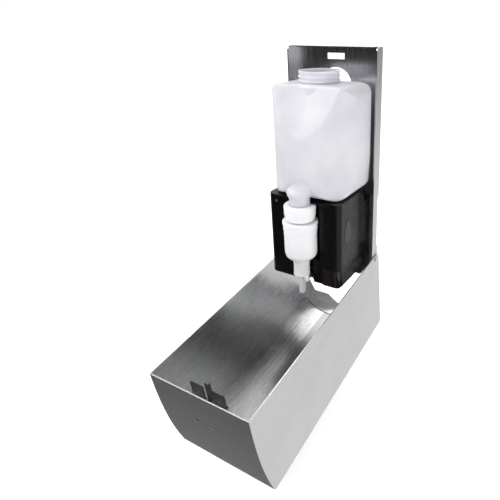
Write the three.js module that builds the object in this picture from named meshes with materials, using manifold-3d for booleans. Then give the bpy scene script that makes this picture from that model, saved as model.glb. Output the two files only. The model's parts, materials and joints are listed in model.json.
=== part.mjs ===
// Wall mounted soap dispenser, in millimetres. X runs across, Y from the user to the wall, Z up.
// Everything is laid out from the bottom edge of the back plate and the plate's rear sheet face,
// then the finished group is moved so that the centre of the wall pad is the origin.
import * as THREE from "three";
import { mergeVertices } from "three/addons/utils/BufferGeometryUtils.js";
import Module from "manifold-3d";

const wasm = await Module();
wasm.setup();
const { Manifold, Mesh } = wasm;

// ---- driving dimensions -------------------------------------------------------------------
const GAP = 0.3;
const SHEET = 1.2;
const PLATE_HALF = 52.7;
const PLATE_TOP = 243.3;
const FLANGE_DEPTH = 13.85;
const TOP_FLANGE_DEPTH = 8.4;
const TOP_FLANGE_HALF = 45;
const STAND_OFF = 2;
const PAD_Z = 122;

const COVER_SHEET = 1;
const COVER_HALF = 54;
const COVER_DEPTH = 104.8;
const COVER_BELOW_HINGE = 8.5;
const COVER_TOP = 237.5;
const HINGE_Y = -5.94;
const HINGE_Z = 8;
const HINGE_TO_RIM = 5.39;
const OPEN_ANGLE = 97;

const HOUSING_HALF = 43;
const HOUSING_FRONT = -75.3;
const HOUSING_SEAM = -19;
const HOUSING_REAR = -1.6;
const HOUSING_BOTTOM = 3.9;
const HOUSING_REAR_TOP = 83;
const DECK_Z = 97.2;
const DECK_DIP = 1.8;
const CHANNEL_TOP = 94.1;
const HOUSING_WALL = 2.2;

const BOTTLE_HALF = 47.5;
const BOTTLE_FRONT = -75.3;
const BOTTLE_REAR = -7;
const BOTTLE_BOTTOM = DECK_Z + 0.4;
const BOTTLE_TOP = 209.8;
const BOTTLE_WALL = 1.7;
const BOTTLE_FRONT_R = 34;
const BOTTLE_REAR_R = 9;
const NECK_Y = -36.5;
const NECK_R = 20.2;
const NECK_TOP = 222;

const PUMP_Y = -80;
const CHANNEL_R = 20.5;
const STROKE = 8;
const SHELF_Z = 31.8;
const NOZZLE_BAY_R = 12.5;

const GEAR_MODULE = 1;
const IDLER_TEETH = 20;
const PINION_TEETH = 12;
const GEAR_FRONT = -56;
const GEAR_BACK = -52;
const RACK_PITCH_X = 2;
const IDLER_Z = 30;

const CELL_R = 7.25;
const CELL_PITCH = 15.5;
const CELL_Y = -12.8;

// ---- materials ----------------------------------------------------------------------------
const paint = (color, metalness, roughness) =>
  new THREE.MeshStandardMaterial({ color, metalness, roughness });
const STEEL = paint(0xb9bcbf, 0.9, 0.35);
const BRIGHT = paint(0xd5d7d9, 0.95, 0.25);
const BLACK = paint(0x17181a, 0, 0.4);
const DARK = paint(0x2b2d30, 0, 0.5);
const MILK = paint(0xe9e9f2, 0, 0.35);
const WHITE = paint(0xf3f3f5, 0, 0.3);
const RUBBER = paint(0x44474a, 0, 0.8);
const GREEN = paint(0x1f5b3a, 0, 0.5);
const BRASS = paint(0xb89a55, 0.9, 0.35);
const GREY = paint(0x8d9196, 0.7, 0.45);
const LENS = paint(0x0c0a0f, 0, 0.15);
const CELL = paint(0x4d6d8c, 0.3, 0.4);
const SPRING = paint(0xa9adb1, 0.95, 0.3);
const LIGHT = paint(0xdfe9e2, 0, 0.25);

// ---- solids -------------------------------------------------------------------------------
function solid(geometry, matrix = new THREE.Matrix4()) {
  const bare = geometry.clone();
  bare.deleteAttribute("normal");
  bare.deleteAttribute("uv");
  bare.applyMatrix4(matrix);
  const merged = mergeVertices(bare, 1e-4);
  return new Manifold(
    new Mesh({
      numProp: 3,
      vertProperties: new Float32Array(merged.attributes.position.array),
      triVerts: new Uint32Array(merged.index.array),
    }),
  );
}
const move = (x, y, z) => new THREE.Matrix4().makeTranslation(x, y, z);
const join = (...parts) => parts.flat().reduce((a, b) => a.add(b));
const cut = (body, ...tools) => tools.flat().reduce((a, b) => a.subtract(b), body);

function box(x0, x1, y0, y1, z0, z1) {
  const g = new THREE.BoxGeometry(x1 - x0, y1 - y0, z1 - z0);
  return solid(g, move((x0 + x1) / 2, (y0 + y1) / 2, (z0 + z1) / 2));
}
function tubeZ(x, y, z0, z1, r, r1 = r, segments = 32) {
  const g = new THREE.CylinderGeometry(r1, r, z1 - z0, segments).rotateX(Math.PI / 2);
  return solid(g, move(x, y, (z0 + z1) / 2));
}
function tubeY(x, z, y0, y1, r, r1 = r, segments = 24) {
  const g = new THREE.CylinderGeometry(r1, r, y1 - y0, segments);
  return solid(g, move(x, (y0 + y1) / 2, z));
}
function tubeX(y, z, x0, x1, r, segments = 20) {
  const g = new THREE.CylinderGeometry(r, r, x1 - x0, segments).rotateZ(-Math.PI / 2);
  return solid(g, move((x0 + x1) / 2, y, z));
}
// Outline of [radius, height] pairs, up on its outer side, turned about a vertical axis at (x, y).
function turned(x, y, outline, segments = 36) {
  const points = outline.map(([r, z]) => new THREE.Vector2(r, z));
  points.push(points[0].clone());
  const g = new THREE.LatheGeometry(points, segments).rotateX(Math.PI / 2);
  return solid(g, move(x, y, 0));
}
const outlineShape = (points) => new THREE.Shape(points.map(([a, b]) => new THREE.Vector2(a, b)));
const extrude = (shape, depth, curveSegments = 8) =>
  new THREE.ExtrudeGeometry(shape, { depth, bevelEnabled: false, curveSegments });
// Outline in (Y, Z), from x0 to x1.
function profileX(shape, x0, x1, curveSegments) {
  const basis = new THREE.Matrix4().makeBasis(
    new THREE.Vector3(0, 1, 0),
    new THREE.Vector3(0, 0, 1),
    new THREE.Vector3(1, 0, 0),
  );
  return solid(extrude(shape, x1 - x0, curveSegments), move(x0, 0, 0).multiply(basis));
}
// Outline in (X, Z), from y0 to y1.
function profileY(shape, y0, y1, curveSegments) {
  const basis = new THREE.Matrix4().makeBasis(
    new THREE.Vector3(1, 0, 0),
    new THREE.Vector3(0, 0, 1),
    new THREE.Vector3(0, -1, 0),
  );
  return solid(extrude(shape, y1 - y0, curveSegments), move(0, y1, 0).multiply(basis));
}
// Outline in (X, Y), from z0 to z1.
function profileZ(shape, z0, z1, curveSegments) {
  return solid(extrude(shape, z1 - z0, curveSegments), move(0, 0, z0));
}
// Rectangle with its own radius at each corner, in the order a0b0, a1b0, a1b1, a0b1.
function roundRect(a0, a1, b0, b1, radii) {
  const corners = [
    [a0, b0, 1, 1],
    [a1, b0, -1, 1],
    [a1, b1, -1, -1],
    [a0, b1, 1, -1],
  ];
  const s = new THREE.Shape();
  corners.forEach(([a, b, da, db], i) => {
    const r = radii[i];
    const from = Math.PI + (i * Math.PI) / 2;
    const draw = i ? "lineTo" : "moveTo";
    s[draw](a + r * (da + Math.cos(from)), b + r * (db + Math.sin(from)));
    if (r) s.absarc(a + da * r, b + db * r, r, from, from + Math.PI / 2, false);
  });
  return s;
}
// Round wire wound about a vertical axis, with flat ends.
function coil(x, y, z0, z1, r, wire, turns, steps) {
  const points = [];
  for (let i = 0; i <= steps; i++) {
    const a = (2 * Math.PI * turns * i) / steps;
    points.push(new THREE.Vector3(r * Math.cos(a), r * Math.sin(a), z0 + ((z1 - z0) * i) / steps));
  }
  const section = [];
  for (let k = 0; k < 6; k++) {
    section.push([wire * Math.cos((k * Math.PI) / 3), wire * Math.sin((k * Math.PI) / 3)]);
  }
  const extrudePath = new THREE.CatmullRomCurve3(points);
  const g = new THREE.ExtrudeGeometry(outlineShape(section), { steps, extrudePath });
  return solid(g, move(x, y, 0));
}
const sphere = (x, y, z, r) => solid(new THREE.SphereGeometry(r, 14, 9), move(x, y, z));

// Spur gear in the XZ plane with straight-sided teeth.
function gearShape(teeth, phase) {
  const pitch = (GEAR_MODULE * teeth) / 2;
  const tip = pitch + 0.85 * GEAR_MODULE;
  const root = pitch - 1.25 * GEAR_MODULE;
  const step = (2 * Math.PI) / teeth;
  const points = [];
  for (let i = 0; i < teeth; i++) {
    const a = phase + i * step;
    [
      [root, -0.36],
      [tip, -0.12],
      [tip, 0.12],
      [root, 0.36],
    ].forEach(([r, f]) => {
      points.push([r * Math.cos(a + f * step), r * Math.sin(a + f * step)]);
    });
  }
  return points;
}
function gear(x, z, teeth, phase) {
  const points = gearShape(teeth, phase).map(([a, b]) => [x + a, z + b]);
  return profileY(outlineShape(points), GEAR_FRONT, GEAR_BACK);
}

const group = new THREE.Group();
function node(name, body, material) {
  const m = body.getMesh();
  const flat = new Float32Array((m.vertProperties.length / m.numProp) * 3);
  for (let i = 0; i < flat.length / 3; i++) {
    flat.set(m.vertProperties.subarray(i * m.numProp, i * m.numProp + 3), i * 3);
  }
  const g = new THREE.BufferGeometry();
  g.setAttribute("position", new THREE.BufferAttribute(flat, 3));
  g.setIndex(new THREE.BufferAttribute(new Uint32Array(m.triVerts), 1));
  g.computeVertexNormals();
  const mesh = new THREE.Mesh(g, material);
  mesh.name = name;
  group.add(mesh);
  return mesh;
}
const bothSides = [-1, 1];
const span = (side, a, b) => [Math.min(side * a, side * b), Math.max(side * a, side * b)];

// ---- back plate ---------------------------------------------------------------------------
const SCREW_SEATS = [
  [-36, 60],
  [36, 60],
  [-36, 190],
  [36, 190],
];
const HOUSING_SCREWS = [
  [-37.4, 20],
  [37.4, 20],
  [-37.4, 75],
  [37.4, 75],
];
function backPlate() {
  const inner = PLATE_HALF - SHEET;
  let body = box(-PLATE_HALF, PLATE_HALF, -SHEET, 0, 0, PLATE_TOP);
  const top = box(
    -TOP_FLANGE_HALF, TOP_FLANGE_HALF, -TOP_FLANGE_DEPTH, 0, PLATE_TOP - SHEET, PLATE_TOP,
  );
  body = join(body, top);
  const side = roundRect(-FLANGE_DEPTH, 0, 0, PLATE_TOP, [2, 0, 0, 4]);
  for (const s of bothSides) {
    const [a, b] = span(s, inner, PLATE_HALF);
    body = join(body, profileX(side, a, b, 6));
  }
  for (const s of bothSides) {
    const [a, b] = span(s, inner - 2, PLATE_HALF + 1);
    const [c, d] = span(s, 42, 48);
    body = cut(body, tubeX(HINGE_Y, HINGE_Z, a, b, 2.2));
    // relief in the rear edge of the side flange
    body = cut(body, box(...span(s, PLATE_HALF - 2.4, PLATE_HALF + 1), -2.5, 1, 24, 84.5));
    // shelf tab under the housing
    body = join(body, profileX(roundRect(-35.5, -0.5, 2.3, 3.5, [0.5, 0, 0, 0.5]), c, d, 3));
  }
  // stand-off seats pressed out of the sheet towards the wall
  for (const [x, z] of SCREW_SEATS) {
    body = join(body, tubeY(x, z, -0.6, STAND_OFF, 10, 7.5, 20));
    body = cut(body, tubeY(x, z, -SHEET - 1, STAND_OFF - SHEET, 9, 6.2, 20));
    body = cut(body, tubeY(x, z, -2, 5, 2.6, 2.6, 12));
  }
  body = join(body, tubeY(0, PAD_Z, -0.6, STAND_OFF, 18, 15, 32));
  body = cut(body, tubeY(0, PAD_Z, -SHEET - 1, STAND_OFF - SHEET, 17, 13.6, 32));
  for (const [x, z] of HOUSING_SCREWS) {
    body = cut(body, tubeY(x, z, -3, 3, 1.8, 1.8, 12));
  }
  body = cut(body, tubeY(0, 203.3, -3, 3, 18.7, 18.7, 36));
  body = cut(body, box(-10.3, 10.3, -3, 3, 230, 236.3));
  return body;
}
node("back_plate", backPlate(), STEEL);

for (const s of bothSides) {
  const name = s < 0 ? "hinge_pin_left" : "hinge_pin_right";
  const body = join(
    tubeX(HINGE_Y, HINGE_Z, ...span(s, 50.4, 51.2), 3.2),
    tubeX(HINGE_Y, HINGE_Z, ...span(s, 51, 54.6), 1.9),
    tubeX(HINGE_Y, HINGE_Z, ...span(s, 54.3, 55.1), 2.6),
  );
  node(name, body, BRIGHT);
}

// ---- housing ------------------------------------------------------------------------------
const LENS_X = 22.5;
const LENS_BACK = -72;
const LENS_TOP = 22.7;
const EMBLEM_Y = -57;
const EMBLEM_Z = 62;
const EMBLEM_SIZE = 1.2;
function droplet(scale) {
  const s = new THREE.Shape();
  const r = 6.5 * scale;
  s.moveTo(EMBLEM_Y, EMBLEM_Z + 13 * scale);
  const low = EMBLEM_Z - 4 * scale;
  const waist = EMBLEM_Z + 6 * scale;
  s.quadraticCurveTo(EMBLEM_Y + 4.5 * scale, waist, EMBLEM_Y + r, low);
  s.absarc(EMBLEM_Y, low, r, 0, -Math.PI, true);
  s.quadraticCurveTo(EMBLEM_Y - 4.5 * scale, waist, EMBLEM_Y, EMBLEM_Z + 13 * scale);
  return s;
}
function housingFront() {
  const w = HOUSING_WALL;
  const outer = (inset, z0, z1) =>
    profileZ(
      roundRect(
        -HOUSING_HALF + inset,
        HOUSING_HALF - inset,
        HOUSING_FRONT + inset,
        HOUSING_SEAM + (inset ? 5 : 0),
        [6.5 - inset, 6.5 - inset, 0, 0],
      ),
      z0,
      z1,
      6,
    );
  let body = cut(outer(0, HOUSING_BOTTOM, DECK_Z), outer(w, HOUSING_BOTTOM + w, DECK_Z - 2 * w));
  // pump channel: a half-round wall let into the front, narrower under a shelf round the nozzle
  const bore = (z0, z1, r) => tubeZ(0, PUMP_Y, z0, z1, r, r, 48);
  const inside = box(-30, 30, HOUSING_FRONT + 0.6, -50, HOUSING_BOTTOM, DECK_Z - 1);
  const channel = join(
    bore(SHELF_Z - w, DECK_Z - 1, CHANNEL_R + 2),
    bore(HOUSING_BOTTOM, SHELF_Z, NOZZLE_BAY_R + 2),
  );
  body = join(body, channel.intersect(inside));
  body = cut(body, bore(SHELF_Z, CHANNEL_TOP, CHANNEL_R));
  body = cut(body, bore(HOUSING_BOTTOM - 1, SHELF_Z + 1, NOZZLE_BAY_R));
  // notch for the spigot and a shallow dip along the deck's front edge
  body = cut(body, tubeZ(0, PUMP_Y, CHANNEL_TOP - 1, DECK_Z + 1, 11.3));
  body = cut(body, box(-11.3, 11.3, HOUSING_FRONT - 1, PUMP_Y + 3, CHANNEL_TOP - 1, DECK_Z + 1));
  const dip = outlineShape([
    [-36, DECK_Z + 0.2],
    [-20, DECK_Z - DECK_DIP],
    [20, DECK_Z - DECK_DIP],
    [36, DECK_Z + 0.2],
  ]);
  body = cut(body, profileY(dip, HOUSING_FRONT - 1, HOUSING_FRONT + 18));
  // clearance for the battery tray in the floor
  body = cut(body, box(-33.5, 33.5, -21.2, HOUSING_SEAM + 1, 0, HOUSING_BOTTOM + w + 1));
  // slot for the lifting fork
  body = cut(body, box(-10.3, 10.3, PUMP_Y, -56.5, 8.6, 12.7 + STROKE + 0.6));
  // lens seat, status light, sensor ports, emblem recess
  body = cut(
    body,
    box(LENS_X - GAP, HOUSING_HALF + 1, HOUSING_FRONT - 1, LENS_BACK + GAP, 0, LENS_TOP + GAP),
  );
  body = cut(body, tubeY(-32.3, 90, -80, -70, 1.8, 1.8, 16));
  body = cut(body, tubeZ(28, -66, 0, 10, 3.2, 3.2, 16), tubeZ(36, -66, 0, 10, 3.2, 3.2, 16));
  body = cut(body, profileX(droplet(EMBLEM_SIZE + 0.06), HOUSING_HALF - 0.7, HOUSING_HALF + 1, 6));
  return body;
}
node("housing_front", housingFront(), BLACK);

function housingRear() {
  const w = HOUSING_WALL;
  const front = HOUSING_SEAM + GAP;
  let body = box(-HOUSING_HALF, HOUSING_HALF, front, HOUSING_REAR, HOUSING_BOTTOM, HOUSING_REAR_TOP);
  body = cut(
    body,
    box(
      -HOUSING_HALF + w, HOUSING_HALF - w, front - 5, HOUSING_REAR - 2,
      HOUSING_BOTTOM + w, HOUSING_REAR_TOP - w,
    ),
  );
  for (const [x, z] of HOUSING_SCREWS) {
    body = join(body, tubeY(x, z, -12, HOUSING_REAR - 1, 3.8, 3.8, 16));
    body = cut(body, tubeY(x, z, -11, 1, 1.8, 1.8, 12));
  }
  // battery tray opening in the floor
  body = cut(body, box(-33.5, 33.5, front - 1, -3.9, 0, HOUSING_BOTTOM + w + 1));
  return body;
}
node("housing_rear", housingRear(), DARK);

HOUSING_SCREWS.forEach(([x, z], i) => {
  const body = cut(
    join(tubeY(x, z, 0.3, 1.6, 2.9, 2.9, 16), tubeY(x, z, -9, 0.5, 1.5, 1.5, 12)),
    box(x - 1.9, x + 1.9, 1, 3, z - 0.35, z + 0.35),
    box(x - 0.35, x + 0.35, 1, 3, z - 1.9, z + 1.9),
  );
  node("housing_screw_" + (i + 1), body, GREY);
});

function sensorLens() {
  const plan = roundRect(LENS_X, HOUSING_HALF, HOUSING_FRONT, LENS_BACK + 4, [0, 6.5, 0, 0]);
  const whole = profileZ(plan, HOUSING_BOTTOM - 1, LENS_TOP, 6);
  return whole.intersect(box(LENS_X, HOUSING_HALF, HOUSING_FRONT, LENS_BACK, 0, LENS_TOP));
}
node("sensor_lens", sensorLens(), LENS);
const statusLed = join(
  tubeY(-32.3, 90, HOUSING_FRONT - 0.3, -70.5, 1.5, 1.5, 16),
  tubeY(-32.3, 90, -72.8, -71.5, 2.1, 2.1, 16),
);
node("status_led", statusLed, LIGHT);
node("droplet_emblem", profileX(droplet(EMBLEM_SIZE), HOUSING_HALF - 0.4, HOUSING_HALF + 0.3, 6), GREY);

node("sensor_pcb", box(24, 40, -70.8, -61.5, 15, 16.6), GREEN);
for (const [name, x] of [["ir_emitter", 28], ["ir_receiver", 36]]) {
  const body = join(
    tubeZ(x, -66, 8.5, 14.7, 2.4, 2.4, 14),
    tubeZ(x, -66, 13.2, 14.7, 2.9, 2.9, 14),
    sphere(x, -66, 8.6, 2.38),
  );
  node(name, body, name === "ir_emitter" ? LIGHT : LENS);
}

// ---- drive --------------------------------------------------------------------------------
const IDLER_X = RACK_PITCH_X + (GEAR_MODULE * IDLER_TEETH) / 2;
const PINION_Z = IDLER_Z + (GEAR_MODULE * (IDLER_TEETH + PINION_TEETH)) / 2;
const idlerPitch = (2 * Math.PI) / IDLER_TEETH;
const pinionPitch = (2 * Math.PI) / PINION_TEETH;
// A tooth of the idler points at the rack; a gap of the pinion faces the idler's top tooth.
const idlerPhase = Math.PI;
const topTooth = Math.round((Math.PI / 2 - idlerPhase) / idlerPitch) * idlerPitch + idlerPhase;
const topOff = topTooth - Math.PI / 2;
const pinionPhase = -Math.PI / 2 - (topOff * IDLER_TEETH) / PINION_TEETH + pinionPitch / 2;

function idlerGear() {
  const hub = tubeY(IDLER_X, IDLER_Z, GEAR_BACK - 0.1, GEAR_BACK + 1, 3.5, 3.5, 20);
  let body = join(gear(IDLER_X, IDLER_Z, IDLER_TEETH, idlerPhase), hub);
  body = cut(body, tubeY(IDLER_X, IDLER_Z, -60, -45, 1.8, 1.8, 16));
  for (let i = 0; i < 5; i++) {
    const a = (2 * Math.PI * i) / 5;
    const x = IDLER_X + 5.6 * Math.cos(a);
    const z = IDLER_Z + 5.6 * Math.sin(a);
    body = cut(body, tubeY(x, z, -60, -45, 1.4, 1.4, 10));
  }
  return body;
}
node("idler_gear", idlerGear(), WHITE);
const idlerAxle = join(
  tubeY(IDLER_X, IDLER_Z, -57, -48, 1.5, 1.5, 16),
  tubeY(IDLER_X, IDLER_Z, -57.4, -56.3, 2.6, 2.6, 16),
);
node("idler_axle", idlerAxle, BRIGHT);
const pinion = join(
  gear(IDLER_X, PINION_Z, PINION_TEETH, pinionPhase),
  tubeY(IDLER_X, PINION_Z, GEAR_FRONT - 1, GEAR_BACK + 1, 3.4, 3.4, 20),
);
node("drive_pinion", cut(pinion, tubeY(IDLER_X, PINION_Z, -60, -45, 1.8, 1.8, 16)), BRASS);
node("motor_shaft", tubeY(IDLER_X, PINION_Z, GEAR_FRONT - 1.3, -50.3, 1.5, 1.5, 16), BRIGHT);

function gearPlate() {
  let body = box(-15, 25, -50.4, -48.4, 12, 60);
  body = cut(body, tubeY(IDLER_X, IDLER_Z, -52, -47, 1.8, 1.8, 16));
  body = cut(body, tubeY(IDLER_X, PINION_Z, -52, -47, 4.2, 4.2, 20));
  // cheeks that keep the rack bar in line, and feet on the floor
  body = join(body, box(-6.2, -4.4, -56, -50, 22, 42));
  body = join(body, box(-15, -9, -50.4, -42, 6.4, 14), box(18, 25, -50.4, -42, 6.4, 14));
  body = cut(body, tubeY(-10.5, 54, -52, -47, 1.7, 1.7, 12));
  return body;
}
node("gear_plate", gearPlate(), DARK);

function gearMotor() {
  const body = join(
    tubeY(IDLER_X, PINION_Z, -48.1, -28.6, 9, 9, 28),
    tubeY(IDLER_X, PINION_Z, -50, -48, 3.4, 3.4, 20),
    tubeY(IDLER_X, PINION_Z, -28.7, -27.4, 3, 3, 16),
  );
  const flats = [-10, 7.6].map((d) =>
    box(IDLER_X + d, IDLER_X + d + 2.4, -49, -28, PINION_Z - 9, PINION_Z + 9),
  );
  return cut(body, flats);
}
node("gear_motor", gearMotor(), GREY);

function liftYoke() {
  let body = join(box(-9.6, 9.6, -62.5, -56.2, 9.6, 12.7), box(-4, 0.9, -56.4, -51.4, 9.6, 44));
  for (const s of bothSides) {
    body = join(body, box(...span(s, 6.1, 9.6), -79.3, -62, 9.6, 12.7));
  }
  // rack teeth, with a gap centred on the idler's tooth
  const pitch = Math.PI * GEAR_MODULE;
  for (let k = -4; k <= 0; k++) {
    const z = IDLER_Z + (k + 0.5) * pitch;
    const root = RACK_PITCH_X - 1.25 * GEAR_MODULE;
    const tip = RACK_PITCH_X + 0.85 * GEAR_MODULE;
    const tooth = outlineShape([
      [root - 0.2, z - 0.36 * pitch],
      [tip, z - 0.12 * pitch],
      [tip, z + 0.12 * pitch],
      [root - 0.2, z + 0.36 * pitch],
    ]);
    body = join(body, profileY(tooth, -56.4, -51.4));
  }
  return body;
}
node("lift_yoke", liftYoke(), DARK);

// ---- electronics and batteries ------------------------------------------------------------
function mainBoard() {
  let body = box(-37, 37, -24.2, -22.6, 10, 88);
  body = join(
    body,
    box(-26, -14, -26, -24, 50, 62),
    box(-28, -8, -27, -24, 72, 80),
    tubeY(-30, 36, -34, -24, 4, 4, 20),
    box(24, 34, -29, -24, 66, 72),
  );
  return body;
}
node("main_pcb", mainBoard(), GREEN);

function batteryTray() {
  let body = box(-33, 33, -20.8, -4.3, HOUSING_BOTTOM - 1, HOUSING_BOTTOM + 3);
  body = join(body, box(-33, 33, -5.2, -4.3, 6, 67.5));
  body = join(body, box(-33, 33, -20.4, -4.3, 66.6, 67.6));
  for (const s of bothSides) {
    body = join(body, box(...span(s, 31.6, 33), -16, -4.3, 6, 67.5));
  }
  // finger pull in the tray's floor
  return cut(body, box(-8, 8, -17, -8, HOUSING_BOTTOM - 2, HOUSING_BOTTOM + 1));
}
node("battery_tray", batteryTray(), BLACK);
const cellX = (i) => (i - 1.5) * CELL_PITCH;
for (let i = 0; i < 4; i++) {
  const up = i % 2 === 0;
  const x = cellX(i);
  const nub = up ? tubeZ(x, CELL_Y, 61, 63, 2.7, 2.7, 14) : tubeZ(x, CELL_Y, 10.6, 12.4, 2.7, 2.7, 14);
  node("battery_" + (i + 1), join(tubeZ(x, CELL_Y, 12, 61.5, CELL_R, CELL_R, 24), nub), CELL);
}
// Contact strip that joins neighbouring cells; at the far ends of the floor it serves one cell.
function contact(x0, x1, z, padZ0, padZ1) {
  let body = box(x0 - 3, x1 + 3, CELL_Y - 3.5, CELL_Y + 3.5, z, z + 0.6);
  for (const x of [x0, x1]) {
    body = join(body, box(x - 3, x + 3, CELL_Y - 2.5, CELL_Y + 2.5, padZ0, padZ1));
  }
  return body;
}
node("contact_top_left", contact(cellX(0), cellX(1), 65.6, 63.4, 65.8), BRIGHT);
node("contact_top_right", contact(cellX(2), cellX(3), 65.6, 63.4, 65.8), BRIGHT);
node("contact_floor_left", contact(cellX(0), cellX(0), 7.3, 7.4, 10.2), BRIGHT);
node("contact_floor_middle", contact(cellX(1), cellX(2), 7.3, 7.4, 10.2), BRIGHT);
node("contact_floor_right", contact(cellX(3), cellX(3), 7.3, 7.4, 10.2), BRIGHT);

// ---- bottle -------------------------------------------------------------------------------
const SPIGOT_R = 10.5;
const SPIGOT_BOTTOM = 84.4;
function scoop(inset) {
  // shallow V that slopes from the neck's foot down to the front face
  const rise = new THREE.Vector3(0, -0.926, 0.378);
  const along = new THREE.Vector3(0, -0.378, -0.926);
  const floor = (x) => 0.284 * (Math.sqrt(x * x + 36) - 6) - inset;
  const points = [[-60, 60]];
  for (let x = -60; x <= 60; x += 6) points.push([x, floor(x)]);
  points.push([60, 60]);
  const basis = new THREE.Matrix4().makeBasis(new THREE.Vector3(1, 0, 0), rise, along);
  const start = new THREE.Vector3(0, BOTTLE_FRONT, 160).addScaledVector(along, -90);
  const place = new THREE.Matrix4().makeTranslation(start.x, start.y, start.z).multiply(basis);
  return solid(extrude(outlineShape(points), 180), place);
}
function bottleBlock(inset) {
  const i = inset;
  const front = new THREE.Shape();
  const half = BOTTLE_HALF - i;
  const foot = half - 3;
  const b = BOTTLE_BOTTOM + i;
  const t = BOTTLE_TOP - i;
  const rb = 10 - i;
  const rt = 14.5 - i;
  front.moveTo(-foot + rb, b);
  front.lineTo(foot - rb, b);
  front.absarc(foot - rb, b + rb, rb, -Math.PI / 2, 0, false);
  front.lineTo(half, 140);
  front.lineTo(half, t - rt);
  front.absarc(half - rt, t - rt, rt, 0, Math.PI / 2, false);
  front.lineTo(-half + rt, t);
  front.absarc(-half + rt, t - rt, rt, Math.PI / 2, Math.PI, false);
  front.lineTo(-half, 140);
  front.lineTo(-foot, b + rb);
  front.absarc(-foot + rb, b + rb, rb, Math.PI, 1.5 * Math.PI, false);
  const plan = roundRect(
    -BOTTLE_HALF + i, BOTTLE_HALF - i, BOTTLE_FRONT + i, BOTTLE_REAR - i,
    [BOTTLE_FRONT_R - i, BOTTLE_FRONT_R - i, BOTTLE_REAR_R - i, BOTTLE_REAR_R - i],
  );
  const side = roundRect(
    BOTTLE_FRONT + i, BOTTLE_REAR - i, b, t, [rb, rb, 9 - i, 7 - i],
  );
  return profileY(front, -90, 0, 6)
    .intersect(profileZ(plan, 80, 230, 10))
    .intersect(profileX(side, -60, 60, 5))
    .subtract(scoop(i));
}
function bottle() {
  const w = BOTTLE_WALL;
  const neckOuter = turned(0, NECK_Y, [
    [0, 190],
    [NECK_R, 190],
    [23.5, 207],
    [22.5, 209],
    [NECK_R, 210],
    [NECK_R, 211.2],
    [NECK_R + 1.3, 212],
    [NECK_R + 1.3, 212.7],
    [NECK_R, 213.5],
    [NECK_R, 215.6],
    [NECK_R + 1.3, 216.4],
    [NECK_R + 1.3, 217.1],
    [NECK_R, 217.9],
    [NECK_R, 220.2],
    [NECK_R + 0.5, 220.6],
    [NECK_R + 0.5, NECK_TOP - 0.4],
    [NECK_R, NECK_TOP],
    [0, NECK_TOP],
  ], 32);
  const neckInner = turned(0, NECK_Y, [
    [0, 180],
    [NECK_R - w, 180],
    [NECK_R - w, 205],
    [17.7, 207],
    [17.7, NECK_TOP + 1],
    [0, NECK_TOP + 1],
  ], 32);
  const dome = (inset, low) => {
    const k = inset;
    return turned(0, PUMP_Y, [
      [0, low],
      [SPIGOT_R - k, low],
      [SPIGOT_R - k, 100.5 + k],
      [11.4 - k, 102 + k],
      [13 - k, 105],
      [13.3 - k, 107],
      [12.6 - k, 109.5 - k],
      [9.5 - k, 112 - k],
      [4.5, 113.5 - k],
      [0, 113.9 - k],
    ], 24);
  };
  const neckFoot = box(-40, 40, -70, 0, 200, 230);
  const outer = join(bottleBlock(0), neckOuter.intersect(neckFoot), dome(0, SPIGOT_BOTTOM));
  const inner = join(bottleBlock(w), neckInner, dome(w, SPIGOT_BOTTOM - 1));
  return cut(outer, inner);
}
node("bottle", bottle(), MILK);

// ---- pump ---------------------------------------------------------------------------------
function collar() {
  let body = turned(0, PUMP_Y, [
    [12.5, 78.6],
    [15.2, 78.6],
    [15.7, 79.1],
    [15.7, 93.2],
    [15.2, 93.7],
    [10.8, 93.7],
    [10.8, 84.7],
    [14.5, 84.7],
    [14.5, 80.2],
    [12.5, 80.2],
  ]);
  for (let i = 0; i < 12; i++) {
    const g = new THREE.BoxGeometry(2.4, 3, 9.6);
    const turn = new THREE.Matrix4().makeRotationZ((2 * Math.PI * i) / 12);
    const place = move(0, PUMP_Y, 88.4).multiply(turn).multiply(move(15.5, 0, 0));
    body = join(body, solid(g, place));
  }
  return body;
}
node("pump_collar", collar(), WHITE);
node("pump_gasket", turned(0, PUMP_Y, [
  [7.2, 82.6],
  [13.8, 82.6],
  [13.8, 84.1],
  [7.2, 84.1],
], 28), RUBBER);

function pumpBody() {
  let body = turned(0, PUMP_Y, [
    [9.1, 33.2],
    [10.4, 33.2],
    [13.4, 34.4],
    [15.8, 36.8],
    [17, 40],
    [17.2, 43],
    [17.2, 63.6],
    [18.2, 63.9],
    [18.55, 64.5],
    [18.55, 75.4],
    [18.2, 76],
    [12.2, 76.4],
    [12.2, 80.5],
    [14.2, 80.5],
    [14.2, 82.3],
    [2.8, 82.3],
    [2.8, 79.8],
    [5, 79.2],
    [5, 75],
    [2.6, 75],
    [2.6, 74],
    [12.4, 74],
    [12.4, 36.5],
    [9.1, 36.5],
  ], 32);
  for (const turn of [0, 1]) {
    const a = turn ? 0.8 : 4.6;
    const c = turn ? 4.6 : 0.8;
    body = cut(body, box(-a, a, PUMP_Y - c, PUMP_Y + c, 73.9, 75.1));
  }
  return body;
}
node("pump_body", pumpBody(), WHITE);
node("inlet_ball", sphere(0, PUMP_Y, 77.55, 3.4), BRIGHT);
node("pump_spring", coil(0, PUMP_Y, 43.3, 73, 8, 0.6, 6, 66), SPRING);

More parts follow.
